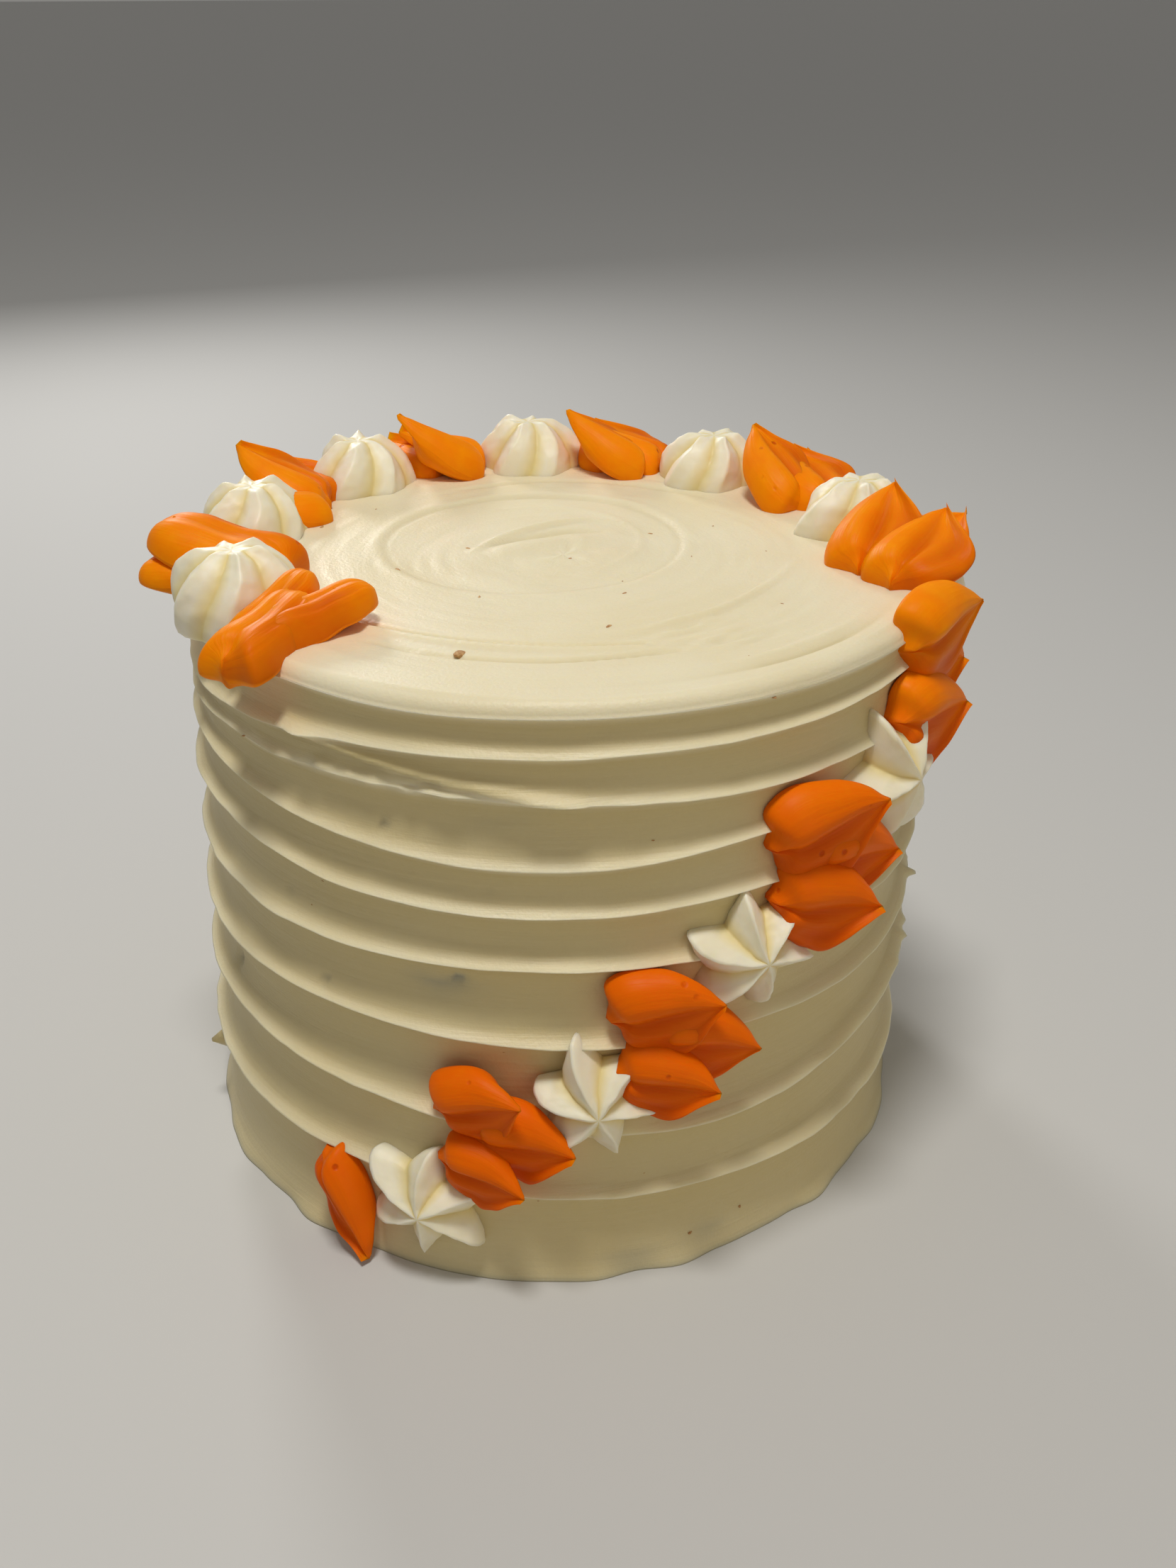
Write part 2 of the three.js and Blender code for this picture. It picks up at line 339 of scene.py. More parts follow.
# Orange tint by the leaves: partly a real stain, partly painted light bounced off them.
color = mix_colors(tree, attribute(tree, "stain"), color, STAIN_AND_BOUNCE)
grain = bumped(tree, pores, 0.22, 0.0004)
finish_surface(
    tree,
    {
        "Base Color": color,
        "Roughness": streaks * 0.22 + 0.36,
        "Normal": bumped(tree, streaks, 0.4, 0.0006, grain),
        "Subsurface Weight": 0.35,
        "Subsurface Radius": (1.0, 0.8, 0.45),
        "Subsurface Scale": 0.003,
        "Specular IOR Level": 0.4,
    },
)
print("The frosting mixes", len(tree.nodes), "nodes")

# %% [markdown]
# ## The ridges
# Each pass of the spatula leaves a wide hollow, and between two hollows a sharp crest stands up.
# The crests aren't level: they rise, fall and run together as the turntable goes round. Each one
# is given by its height at twelve even steps round the cake, starting at the front and turning
# to the right. The front steps are the ones that show.

# %% Set the crests' heights
CRESTS = [
    [21.0, 19.6, 19.2, 20.5, 21.5, 22, 22, 22, 22.5, 23, 23.4, 22.7],
    [36.0, 34.3, 39.2, 41, 40, 40, 40.5, 41, 41.5, 42, 42, 40.2],
    [55.5, 54.8, 54.6, 55, 55.5, 56, 56.5, 57, 57, 57.5, 57.8, 57.4],
    [71.7, 71.2, 70.5, 71, 71, 71.5, 71, 71, 71.5, 71.8, 71.8, 71.7],
    [82.2, 83.2, 83.5, 84, 84, 85, 85, 85, 85.5, 86, 86, 83.4],
    [91.6, 93.8, 94, 94, 94.5, 95, 95, 95.5, 96, 96.5, 96.8, 93.4],
    [104.2, 102.9, 102.2, 102.5, 103, 104, 104, 104.5, 104.5, 104, 104.2, 104.8],
    [112.6, 112.8, 113.8, 113, 112, 112, 111.5, 111, 110, 108.8, 108.6, 111.4],
]
RIM_ROUND = 2.6
SIDES = 416
AROUND = np.arange(SIDES) / SIDES
ANGLE = 2 * np.pi * AROUND
levels = [np.zeros(SIDES)]
for number, heights in enumerate(CRESTS):
    wave = 0.25 * soft_noise(AROUND, np.full(SIDES, number * 3.3), 34, seed=5)
    levels.append(smooth_curve(heights, AROUND, closed=True) + wave)
rim_level = CAKE_HEIGHT - RIM_ROUND + 0.4 * soft_noise(AROUND, np.zeros(SIDES), 18, seed=6)
levels.append(rim_level)
gaps = [float((high - low).min()) for low, high in zip(levels, levels[1:])]
print("The closest two crests come is", round(min(gaps), 1), "mm")

# %% [markdown]
# ## The wall between the crests
# Every hollow is a shallow curve from one crest to the next. Rings crowd together near the
# crests, where the surface bends most, so that each crest stays a clean line of the mesh. A thin
# lip of frosting, pushed up by the spatula's edge, stands along each crest: a ledge above it
# catches the light, and it is undercut below. At the right the lips of two crests are torn.

# %% Shape the wall
HOLLOW_STEPS = 14
HOLLOW_DEPTH = [0.06, 0.15, 0.15, 0.14, 0.135, 0.135, 0.135, 0.125, 0.15]  # for each width
CREST_PROUD = 0.5
LEDGE_WIDTH, UNDERCUT_WIDTH = 1.05, 0.6  # how fast a lip falls away above and below its crest
BROKEN_CREST = 6  # this crest is only a thin torn line at the left


def near_angle(center, width):
    """1 at an angle round the cake, in degrees, fading to 0 beyond its width."""
    away = (np.degrees(ANGLE) - center + 180) % 360 - 180
    return bump_at(away, width)


def slow_swell(z):
    """How far the wall swells in and out as a whole."""
    return 0.35 * soft_noise(AROUND, z / 15, 9, seed=10)


def lip_of(number):
    """How far the lip along one crest stands out, all round the cake."""
    lip = 1.0 + 0.22 * soft_noise(AROUND, np.full(SIDES, number * 1.7), 26, seed=9)
    lip += 0.14 * soft_noise(AROUND, np.full(SIDES, number * 2.3), 110, seed=14)
    if number < 4:
        lip *= 1.15 + 0.6 * near_angle(48, 36)
    if number == BROKEN_CREST:
        lip *= 1 - 0.72 * np.clip(near_angle(-36, 27) * 1.3, 0, 1)
    if number in (1, 2):
        teeth = np.clip(soft_noise(AROUND, np.full(SIDES, number * 5.1), 150, seed=8) - 0.25, 0, 1)
        lip += near_angle(79, 7) * teeth * 3.2
    return lip


rings, groove, along = [], [], []
for number, (low, high) in enumerate(zip(levels, levels[1:])):
    width = high - low
    lower_lip = lip_of(number - 1) if number else 0 * AROUND
    upper_lip = lip_of(number) if number < len(CRESTS) else 0.5 + 0 * AROUND
    for step in range(HOLLOW_STEPS):
        share = 0.5 - 0.5 * math.cos(math.pi * step / HOLLOW_STEPS)
        z = low + share * width
        hollow = (4 * share * (1 - share)) ** 0.9
        radius = wall_radius(z) + CREST_PROUD - HOLLOW_DEPTH[number] * width * hollow
        ledge = lower_lip * bump_at(z - low, LEDGE_WIDTH)
        radius += ledge + upper_lip * bump_at(high - z, UNDERCUT_WIDTH)
        radius += slow_swell(z)
        dents = 0.10 * soft_noise(AROUND, z * 0.9, 40, seed=11)
        radius += (dents + 0.05 * soft_noise(AROUND, z * 2.1, 75, seed=15)) * hollow
        rings.append([radius, z])
        # Painted shade: none on the crests, darkest in the hollow just under the upper crest.
        from_crest = np.minimum(z - low, high - z) if number else high - z
        under = 0.62 + 0.38 * share  # deepest in colour under the upper crest
        groove.append(under * np.clip(from_crest / 1.6, 0, 1))
        along.append(z)
rings, groove, along = np.array(rings), np.array(groove), np.array(along)
radius, z = rings[:, 0], rings[:, 1]
print("The wall has", len(radius), "rings, the widest", radius.max().round(1), "mm out")

# %% [markdown]
# ## Marks on the wall
# A crest runs down from the top one at the left and joins the next, and the frosting between
# them is torn and wrinkled where the spatula lifted off. There are a few pits where air was
# trapped, and some places where the frosting is so thin that the crumb coat shows. A stray peak
# stands out low at the left, and the foot has a ragged edge with a dark line along it.

# %% Add the marks
WALL_PITS = [
    (-24, 96.5, 1.1), (-42, 76, 0.9), (-35, 60, 1.0), (-13.5, 67.3, 1.3),
    (-62, 47, 1.6), (-9, 86.5, 0.7), (36, 62, 0.7),
]  # angle, height and size
THIN_PLACES = [
    (-16, 65.5, 6, 2.6, 0.6), (-13.5, 67.3, 1.9, 0.8, 0.9), (-62, 47, 5, 3, 0.2),
    (-8, 100, 8, 3, 0.14), (12, 3, 5, 2.5, 0.45), (25, 5, 4, 2, 0.35),
]  # angle, height, half width, half height and share of the crumb coat
SPIKE_ANGLE, SPIKE_HEIGHT, SPIKE_LENGTH = -74, 17, 4.5
BRANCH_START, BRANCH_TURN = -40, 44  # the crest that runs down, in degrees
BRANCH_TOP, BRANCH_DROP = 111.6, 7.6
MM_PER_DEGREE = 1.33  # round the wall

degrees = (np.degrees(ANGLE) + 180) % 360 - 180
around_wall = AROUND * np.ones_like(z)
run = np.clip((degrees - BRANCH_START) / BRANCH_TURN, 0, 1)
branch = BRANCH_TOP - BRANCH_DROP * run**0.9
window = np.clip(10 * run * (1 - run) + 0.2, 0, 1) * (run > 0) * (run < 1)
above_branch = np.where(z > branch, LEDGE_WIDTH, UNDERCUT_WIDTH + 0.2)
radius += 1.5 * np.exp(-(((z - branch) / above_branch) ** 2)) * window
torn = bump_at(degrees + 24, 20) * bump_at(z - 105.0, 2.0)
radius += 0.9 * torn * soft_noise(around_wall, z * 0.9 + degrees / 36, 130, seed=12)
radius -= 0.5 * bump_at(degrees - 8, 16) * bump_at(z - 58.6 - 0.06 * degrees, 0.9)
thin = np.zeros_like(z)
for angle, height, size in WALL_PITS:
    away = np.hypot((degrees - angle) * MM_PER_DEGREE, z - height)
    radius -= 0.8 * size * bump_at(away, size)
    thin += 0.3 * bump_at(away, 0.7 * size)
for angle, height, wide, tall, share in THIN_PLACES:
    away = np.hypot((degrees - angle) * MM_PER_DEGREE / wide, (z - height) / tall)
    thin += share * bump_at(away, 1) * (0.7 + 0.3 * soft_noise(around_wall, z, 90, seed=13))
from_spike = np.hypot((degrees - SPIKE_ANGLE) * MM_PER_DEGREE, z - SPIKE_HEIGHT)
radius += SPIKE_LENGTH * bump_at(from_spike, 1.7)
# A dark line along the foot, mixed towards the crumb coat's colour.
thin += 0.35 * bump_at(z, 0.9)
foot_edge = bump_at(z, 2.2)
radius += foot_edge * (0.5 + 0.9 * soft_noise(around_wall, z * 0.2, 55, seed=16))
print("The wall carries", len(WALL_PITS), "pits and", len(THIN_PLACES), "thin places")

# %% [markdown]
# ## The top
# The top was levelled last, with the spatula held flat while the cake turned. It left a faint
# disc in the middle, a comma-shaped swirl where the blade lifted off, and arcs nearer the rim.
# The front right of the rim is folded over in a ragged double lip. Each mark is a low ridge or
# a crease along a line of a few points, and a crease is painted with the hollows' shade too.

# %% Shape the top
TOP_RINGS = 112
DISC_X, DISC_Y, DISC_RADIUS = -3, 8, 30.5
OUTER_LIP, LIP_GAP, INNER_LIP = 70.5, 67.8, 65.0  # radii of the folded rim
TOP_MARKS = [
    ([(-15, 2), (-10, 10), (-3, 17), (7, 22), (16, 20)], 1.0, 1.3),
    ([(-13, -1), (-6, 4), (2, 7), (9, 8)], 3.6, 1.2),
    ([(-13, 5), (-5, 10), (3, 14), (11, 15)], 1.4, -0.9),
    ([(-44, -24), (-33, -37), (-17, -45), (0, -48.5), (18, -48)], 0.8, -1.9),
    ([(-44, -26), (-33, -39), (-17, -47), (0, -50.5), (18, -50)], 1.3, 1.2),
    ([(-30, -47), (-14, -54), (3, -56), (24, -52)], 0.8, -1.1),
    ([(20, -40), (32, -33), (43, -20), (50, -6)], 0.9, 0.8),
    ([(-20, 44), (-3, 50), (16, 48), (34, 38)], 0.9, -0.8),
]  # each line's points, half width and height: a negative one is a crease


def ridge_along(x, y, points, width, height):
    """A soft ridge over a line through points on the top, tapering to both of its ends."""
    points = np.array(points, float)
    t = np.linspace(0, 1, 60)
    line = np.column_stack([smooth_curve(points[:, 0], t), smooth_curve(points[:, 1], t)])
    taper = np.sin(np.pi * np.clip(t, 0.04, 0.96)) ** 0.5
    away = np.hypot(x[..., None] - line[:, 0], y[..., None] - line[:, 1])
    nearest = away.argmin(axis=-1)
    return height * bump_at(away.min(axis=-1), width) * taper[nearest]


# The rim turns over in a quarter circle, then rings run in to the middle.
turn = np.linspace(0, np.pi / 2, 8)[:-1]
flat = np.linspace(0, 1, TOP_RINGS - len(turn), endpoint=False) ** 1.15
rim_radius = TOP_RADIUS + CREST_PROUD - RIM_ROUND + slow_swell(np.full(SIDES, CAKE_HEIGHT))
over = [[rim_radius + RIM_ROUND * math.cos(a), rim_level + RIM_ROUND * math.sin(a)] for a in turn]
across = [[rim_radius * (1 - share), CAKE_HEIGHT + 0 * AROUND] for share in flat]
top = np.array(over + across)
top_radius, top_z = top[:, 0], top[:, 1].copy()
x = LEAN + top_radius * np.sin(ANGLE)
y = -top_radius * np.cos(ANGLE)
level = np.clip((rim_radius - top_radius) / 6, 0, 1)  # 1 on the level part
level[: len(turn)] = np.linspace(0, 0.1, len(turn))[:, None]
out = np.hypot(x - LEAN, y)
around_top = AROUND * np.ones_like(out)
relief = 0.12 * soft_noise(around_top, out * 0.55, 14, seed=21)
relief += 0.7 * soft_noise(around_top, out / 22, 5, seed=22) * out / 74
relief += 0.30 * soft_noise(around_top, out / 7 + 1.3 * np.sin(ANGLE), 9, seed=24)
disc = np.hypot(x - DISC_X, y - DISC_Y)
around_disc = np.arctan2(y - DISC_Y, x - DISC_X)
edge_strength = 0.75 + 0.25 * np.cos(around_disc - 1.2)
sunk_disc = 0.5 * np.clip((DISC_RADIUS + 0.5 - disc) / 2.5, 0, 1)
relief -= 0.6 * edge_strength * bump_at(disc - DISC_RADIUS, 0.9) + sunk_disc
relief += 0.3 * edge_strength * bump_at(disc - (DISC_RADIUS + 2), 1.3)
inner_arc = bump_at(disc - (DISC_RADIUS - 8) - 1.5 * np.sin(around_disc), 0.8)
relief += 0.35 * inner_arc * np.clip(np.cos(around_disc - 0.6) + 0.4, 0, 1)
print("The disc is", 2 * DISC_RADIUS, "mm across")

# %% [markdown]
# The last strokes come on top of that: the marks, some wrinkles at the front right, and the
# folded rim. Their height fades out towards the rim's round edge, which only the fold lifts.

# %% Add the marks on the top
# Painted shade in the top's creases: along the disc's edge, in each crease mark and in the folded lip's
# gap.
crease_shade = 0.2 * edge_strength * bump_at(disc - DISC_RADIUS, 0.8)
for line, half_width, height in TOP_MARKS:
    mark = ridge_along(x, y, line, half_width, height)
    relief += mark
    crease_shade += np.clip(-0.4 * mark, 0, 1)
wrinkled = bump_at(np.hypot((x - 29) / 13, (y + 45) / 7), 1)
relief += 0.7 * wrinkled * soft_noise(around_top, out * 0.8, 60, seed=23)
torn_edge = 0.75 + 0.35 * soft_noise(AROUND, np.zeros(SIDES), 70, seed=25)
folded = near_angle(40, 20) * torn_edge
lip_gap = folded * bump_at(out - LIP_GAP, 1.0)
relief += 1.3 * folded * bump_at(out - OUTER_LIP, 1.2) - lip_gap
relief += 0.9 * folded * bump_at(out - INNER_LIP, 1.1)
crease_shade += 0.6 * lip_gap
top_z += (0.8 + 0.2 * np.clip(folded + wrinkled, 0, 1)) * relief * level + 0.55 * folded * (1 - level)
print("The top has", len(top_radius), "rings and", round(float(np.ptp(relief)), 2), "mm of relief")

# %% [markdown]
# ## The orange tint by the leaves
# The frosting next to the leaves is tinted orange: partly their colour creeping in as a stain, and
# partly painted light bounced off them. Each point of the skin takes its tint from its distance to
# the leaves' own nodes in the imported model.

# %% Join the frosting into one skin
all_radius = np.vstack([radius, top_radius])
all_z = np.vstack([z, top_z])
shift = axis_shift(all_z)
skin = np.stack([shift + all_radius * np.sin(ANGLE), -all_radius * np.cos(ANGLE), all_z], axis=-1)
skin[0, :, 2] = 0
first, last = (0, 0, 0), (LEAN, 0, float(top_z[-1].mean()))
cake_mesh = closed_skin("Frosted_cake", first, skin, last)


def with_poles(values):
    """The rings' values in the mesh's order, with one more for each pole."""
    return np.concatenate([values[:1, 0], values.reshape(-1), values[-1:, 0]])


# The tint by the leaves: partly a stain, partly painted bounce light.
stain = np.zeros(all_z.shape)
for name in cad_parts:
    if name.startswith("leaf"):
        low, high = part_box(name)
        middle = (np.array(low) + np.array(high)) / 2 / MM
        away = np.linalg.norm(skin - middle, axis=-1)
        stain = np.maximum(stain, 0.30 * bump_at(np.maximum(away - 8, 0), 4.5))
run_along = np.vstack([along, CAKE_HEIGHT + 0.2 * (TOP_RADIUS - top_radius)])
sweep_parts = (1.6 * np.sin(ANGLE) + 0 * all_z, 1.6 * np.cos(ANGLE) + 0 * all_z, run_along * 0.9)
set_attribute(cake_mesh, "sweep", np.stack([with_poles(part) for part in sweep_parts], axis=-1))
set_attribute(cake_mesh, "groove", with_poles(np.vstack([groove, np.clip(crease_shade, 0, 1)])))
thin = np.vstack([np.clip(thin, 0, 0.85), 0 * top_radius])
set_attribute(cake_mesh, "thin", with_poles(thin))
set_attribute(cake_mesh, "stain", with_poles(stain))
add_piece("Frosted_cake", cake_mesh, frosting, ["frosted_cake"])
print("The cake's skin has", len(cake_mesh.polygons), "faces round", round(volume_of(cake_mesh)), "ml")

# %% [markdown]
# ## Crumbs
# A spatula always drags some crumbs of the cake out into its frosting: small brown flakes, half
# sunk in the surface. A crumb is toasted outside and pale where it broke, so two browns are
# mixed by a fine noise, with little gloss.

# %% Make the crumbs' material
CRUMB_BROWN = (0.40, 0.19, 0.065, 1)
CRUMB_PALE = (0.66, 0.42, 0.19, 1)

crumb_brown, tree = new_material("Crumb_brown")
place = object_place(tree)
grains = noise(tree, place, 1800, 3)
finish_surface(
    tree,
    {
        "Base Color": mix_colors(tree, ramp(tree, grains, (0.35, 0), (0.7, 1)), CRUMB_BROWN, CRUMB_PALE),
        "Roughness": grains * 0.3 + 0.55,
        "Normal": bumped(tree, grains, 0.6, 0.0004),
    },
)
print("Crumbs are mixed from two browns")

# %% [markdown]
# ## Geometry Nodes for what repeats
# The crumbs repeat one form, and so do the stars, so Geometry Nodes make them. Both trees need
# the same few steps: named inputs for the sizes, a random push that dents a surface, and an end
# that makes the copies real and gives them their material. A last helper puts a tree on a
# carrier, sets its inputs by their identifiers, and keeps the result as a plain mesh.


# %% Write the tree helpers
def new_tree(name, inputs):
    """A tree with an input for each size, and those inputs as values."""
    tree = bpy.data.node_groups.new(name, "GeometryNodeTree")
    for way in ("INPUT", "OUTPUT"):
        tree.interface.new_socket("Geometry", in_out=way, socket_type="NodeSocketGeometry")
    for key, value in inputs.items():
        socket = tree.interface.new_socket(key, in_out="INPUT", socket_type="NodeSocketFloat")
        socket.default_value = value
    outputs = tree.nodes.new("NodeGroupInput").outputs
    return tree, {key: Value(tree, outputs[key]) for key in ("Geometry", *inputs)}


def random_push(tree, where, scale, reach):
    """A soft random vector for each place, up to half the reach in each direction."""
    clouds = {"Vector": where, "Scale": scale, "Detail": 2.0}
    push = add_node(tree, "ShaderNodeTexNoise", None, clouds, "Color")
    centered = {0: push, 1: (0.5, 0.5, 0.5)}
    push = add_node(tree, "ShaderNodeVectorMath", {"operation": "SUBTRACT"}, centered)
    return add_node(tree, "ShaderNodeVectorMath", {"operation": "SCALE"}, {0: push, "Scale": reach})


def end_tree(tree, geometry, material):
    """Smooths the faces, makes all copies real and gives them their material."""
    smooth = add_node(tree, "GeometryNodeSetShadeSmooth", None, {0: geometry})
    realized = add_node(tree, "GeometryNodeRealizeInstances", None, {0: smooth})
    coated = {"Geometry": realized, "Material": material}
    add_node(tree, "NodeGroupOutput", None, {0: add_node(tree, "GeometryNodeSetMaterial", None, coated)})


def grown(tree, carrier_mesh, sizes):
    """A plain mesh of what a tree makes on a carrier's mesh."""
    carrier = bpy.data.objects.new(tree.name, carrier_mesh)
    bpy.context.collection.objects.link(carrier)
    modifier = carrier.modifiers.new(tree.name, "NODES")
    modifier.node_group = tree
    for item in tree.interface.items_tree:
        if item.in_out == "INPUT" and item.name in sizes:
            modifier[item.identifier] = sizes[item.name]
    evaluated = carrier.evaluated_get(bpy.context.evaluated_depsgraph_get())
    mesh = bpy.data.meshes.new_from_object(evaluated)
    carrier.modifiers.remove(modifier)
    bpy.data.objects.remove(carrier)
    return mesh


print("Trees can be built and grown")

# %% [markdown]
# The crumbs' tree dents a small ball, puts one on each point, flattens it and turns it at random
# from a fixed seed. Each point carries its own crumb's size as an attribute.

# %% Build the crumbs' tree
CRUMB_SIZES = {"Dents": 0.45 * MM, "Flatness": 0.28}
CRUMB_WIDTH = 0.45  # of its length
MOST_TURN = (0.3, 0.3, 2 * math.pi)

crumb_tree, given = new_tree("Sunk_crumbs", CRUMB_SIZES)
sphere = {"Radius": 0.5 * MM, "Subdivisions": 3}
ball = add_node(crumb_tree, "GeometryNodeMeshIcoSphere", None, sphere)
at = add_node(crumb_tree, "GeometryNodeInputPosition")
dented = {"Geometry": ball, "Offset": random_push(crumb_tree, at, 1900.0, given["Dents"])}
ball = add_node(crumb_tree, "GeometryNodeSetPosition", None, dented)
named = {"Name": "size"}
size = add_node(crumb_tree, "GeometryNodeInputNamedAttribute", {"data_type": "FLOAT"}, named)
scales = {"X": size, "Y": size * CRUMB_WIDTH, "Z": size * given["Flatness"]}
each = add_node(crumb_tree, "GeometryNodeInputIndex")
turns = {0: (0, 0, 0), 1: MOST_TURN, "ID": each, "Seed": 4}
on_points = {
    "Points": given["Geometry"],
    "Instance": ball,
    "Rotation": add_node(crumb_tree, "FunctionNodeRandomValue", {"data_type": "FLOAT_VECTOR"}, turns),
    "Scale": add_node(crumb_tree, "ShaderNodeCombineXYZ", None, scales),
}
placed = add_node(crumb_tree, "GeometryNodeInstanceOnPoints", None, on_points)
end_tree(crumb_tree, placed, crumb_brown)
print("The crumbs' tree has", len(crumb_tree.nodes), "nodes")

# %% [markdown]
# The larger crumbs are placed one by one, on the top and on the wall, and finer ones are scattered
# by a fixed seed. Each is dropped onto the nearest point of the skin and sunk a little, so that
# about half of it shows.

# %% Drop the crumbs
TOP_CRUMBS = [
    (-14, -52, 4.2), (12, -40, 1.6), (-48, 17, 1.6), (5, -2, 1.2), (-12, -25, 1.1), (-16, 4, 1.4),
    (22, 14, 1.2), (-29, -9, 1.5), (35, 17, 0.9), (15, -23, 1.3), (44, -30, 0.8), (-38, 30, 0.8),
]  # x, y and size in mm
WALL_CRUMBS = [
    (-45, 117, 1.3), (-49, 104, 1.1), (29, 117, 1.3), (13, 96, 0.8),
    (-12, 41, 0.9), (30, 8, 1.2), (22, 5, 1.4),
]  # angle, height and size
FINE_CRUMBS = 16
FINE_SIZES = (0.35, 0.7)
SHARE_ON_TOP = 0.45
CRUMB_SUNK = 0.05  # of its size


def spot_at(a, out, height):
    """The point at an angle in radians, a distance from the leaning axis and a height."""
    return axis_shift(height) + out * math.sin(a), -out * math.cos(a), height


draws = np.random.default_rng(31)
spots = [(x, y, CAKE_HEIGHT, size) for x, y, size in TOP_CRUMBS]
for angle, height, size in WALL_CRUMBS:
    spots.append((*spot_at(math.radians(angle), BASE_RADIUS, height), size))
for _ in range(FINE_CRUMBS):
    a, out, height = draws.uniform((0, 0, 3), (2 * math.pi, 66, 118))
    on_top = draws.uniform() < SHARE_ON_TOP
    out, height = (out, CAKE_HEIGHT) if on_top else (BASE_RADIUS, height)
    spots.append((*spot_at(a, out, height), draws.uniform(*FINE_SIZES)))

points, sizes = [], []
for x, y, height, size in spots:
    away = np.linalg.norm(skin - np.array([x, y, height]), axis=-1)
    ring, side = np.unravel_index(away.argmin(), away.shape)
    spot = skin[ring, side].copy()
    if height > CAKE_HEIGHT - 1:
        outwards = np.array([0, 0, 1])
    else:
        outwards = spot * (1, 1, 0) / np.hypot(spot[0], spot[1])
    points.append((spot - outwards * CRUMB_SUNK * size) * MM)
    sizes.append(size)
carrier_mesh = bpy.data.meshes.new("Crumb_points")
carrier_mesh.from_pydata([tuple(point) for point in points], [], [])
set_attribute(carrier_mesh, "size", np.array(sizes))
crumb_mesh = grown(crumb_tree, carrier_mesh, CRUMB_SIZES)
add_piece("Crumbs", crumb_mesh, crumb_brown)
print(len(spots), "crumbs with", len(crumb_mesh.polygons), "faces")

# %% [markdown]
# ## The garland's path
# The garland climbs the wall from the front left and then follows the rim. A station's rise is
# measured up the wall and then inwards across the top, so one number serves for both. The frame
# at a station has x running on round the cake, y up the wall or inwards, and z straight out.

# %% Place the stations
STATIONS = [
    ("single", -31, 14, 0, 1),
    ("star", -17.8, 17, -3, 1),
    ("cluster", -7, 36.5, 4, 0.82),
    ("star", 6, 43.3, 20, 1),
    ("cluster", 17, 57, -2, 0.86),
    ("star", 28, 70, 12, 1),
    ("cluster", 39.2, 86, -2, 0.97),
    ("star", 55, 94, 30, 1.15),
    ("top_cluster", 65.5, 113, -6, 1),
    ("star", 80, 116, 0, 1),
    ("side_crown", 82, 129, 0, 1),
    ("star", 104, 132, 10, 1),
    ("crown", 127, 132, 0, 1),
    ("star", 147, 133, 40, 1),
    ("crown", 170, 132, 0, 1),
    ("star", 188, 129, 25, 1),
    ("crown", 208, 128, -4, 1),
    ("star", 224, 127, 5, 1),
    ("left_crown", 242, 128, 0, 1),
    ("star", 258, 129, 50, 1),
    ("swept_crown", 276, 129, 0, 1),
    ("star", 294, 129, 15, 1),
    ("closing", 308, 128, 0, 1),
]  # kind, angle, rise, turn, size
RIM_BEND = 5  # half the length of path that turns over the rim


def surface_frame(angle, rise):
    """The frame on the plain cake at an angle in degrees and a rise in mm."""
    past = rise - CAKE_HEIGHT
    turn = min(max((past + RIM_BEND) / (2 * RIM_BEND), 0), 1)
    z = min(rise, CAKE_HEIGHT)
    radius = wall_radius(z) - max(past, 0)
    a = math.radians(angle)
    place = Vector(spot_at(a, radius, z)) * MM
    tilt = Matrix.Rotation(math.radians(90 * (1 - turn)), 4, "X")
    return Matrix.Translation(place) @ Matrix.Rotation(a, 4, "Z") @ tilt


def piece_frame(angle, rise, turn, x=0, y=0, z=0, pitch=0):
    """A piece's own frame: moved along the path, turned in the surface, then pitched."""
    station = surface_frame(angle + math.degrees(x / BASE_RADIUS), rise + y)
    spin = Matrix.Rotation(math.radians(turn), 4, "Z") @ Matrix.Rotation(math.radians(-pitch), 4, "Y")
    return station @ spin @ Matrix.Translation((0, 0, z * MM))


print(len(STATIONS), "stations on the garland")

# %% [markdown]
# ## The stars' finish
# The stars are the same cream, piped fresh and a little whiter. The grooves between their points
# are painted darker and yellower, as painted shade and as painted glow of light that has already
# passed through the frosting.

# %% Make the stars' material
STAR_CREAM = (0.88, 0.83, 0.66, 1)
STAR_GROOVE_SHADE = (0.80, 0.66, 0.27, 1)

star_cream, tree = new_material("Star_cream")
place = object_place(tree)
dimples = noise(tree, place, 900, 3)
soft = noise(tree, place, 160, 2)
star_shade_mask = ramp(tree, attribute(tree, "groove"), (0.45, 0), (0.98, 0.9))
# Painted shade and painted glow: the grooves between the points are darker and yellower.
color = mix_colors(tree, star_shade_mask, STAR_CREAM, STAR_GROOVE_SHADE)
finish_surface(
    tree,
    {
        "Base Color": mix_colors(tree, ramp(tree, soft, (0.4, 0), (0.8, 0.3)), color, CREAM_WARM),
        "Roughness": dimples * 0.15 + 0.38,
        "Normal": bumped(tree, dimples, 0.08, 0.0004, bumped(tree, soft, 0.12, 0.0010)),
        "Subsurface Weight": 0.4,
        "Subsurface Radius": (1.0, 0.8, 0.4),
        "Subsurface Scale": 0.003,
        "Specular IOR Level": 0.4,
    },
)
print("Grooves are mixed towards", STAR_GROOVE_SHADE[:3])

# %% [markdown]
# ## A piped star by rule
# A star tip squeezes the frosting through six teeth. Pressed on the wall it makes an open star;
# lifted slowly on the rim it makes a ribbed dome that ends in ragged points. Both follow one
# rule, so Geometry Nodes make them: a flat grid becomes the skin, its x going round the star and
# its y running from the middle of the foot to the peak, and named inputs set every size.

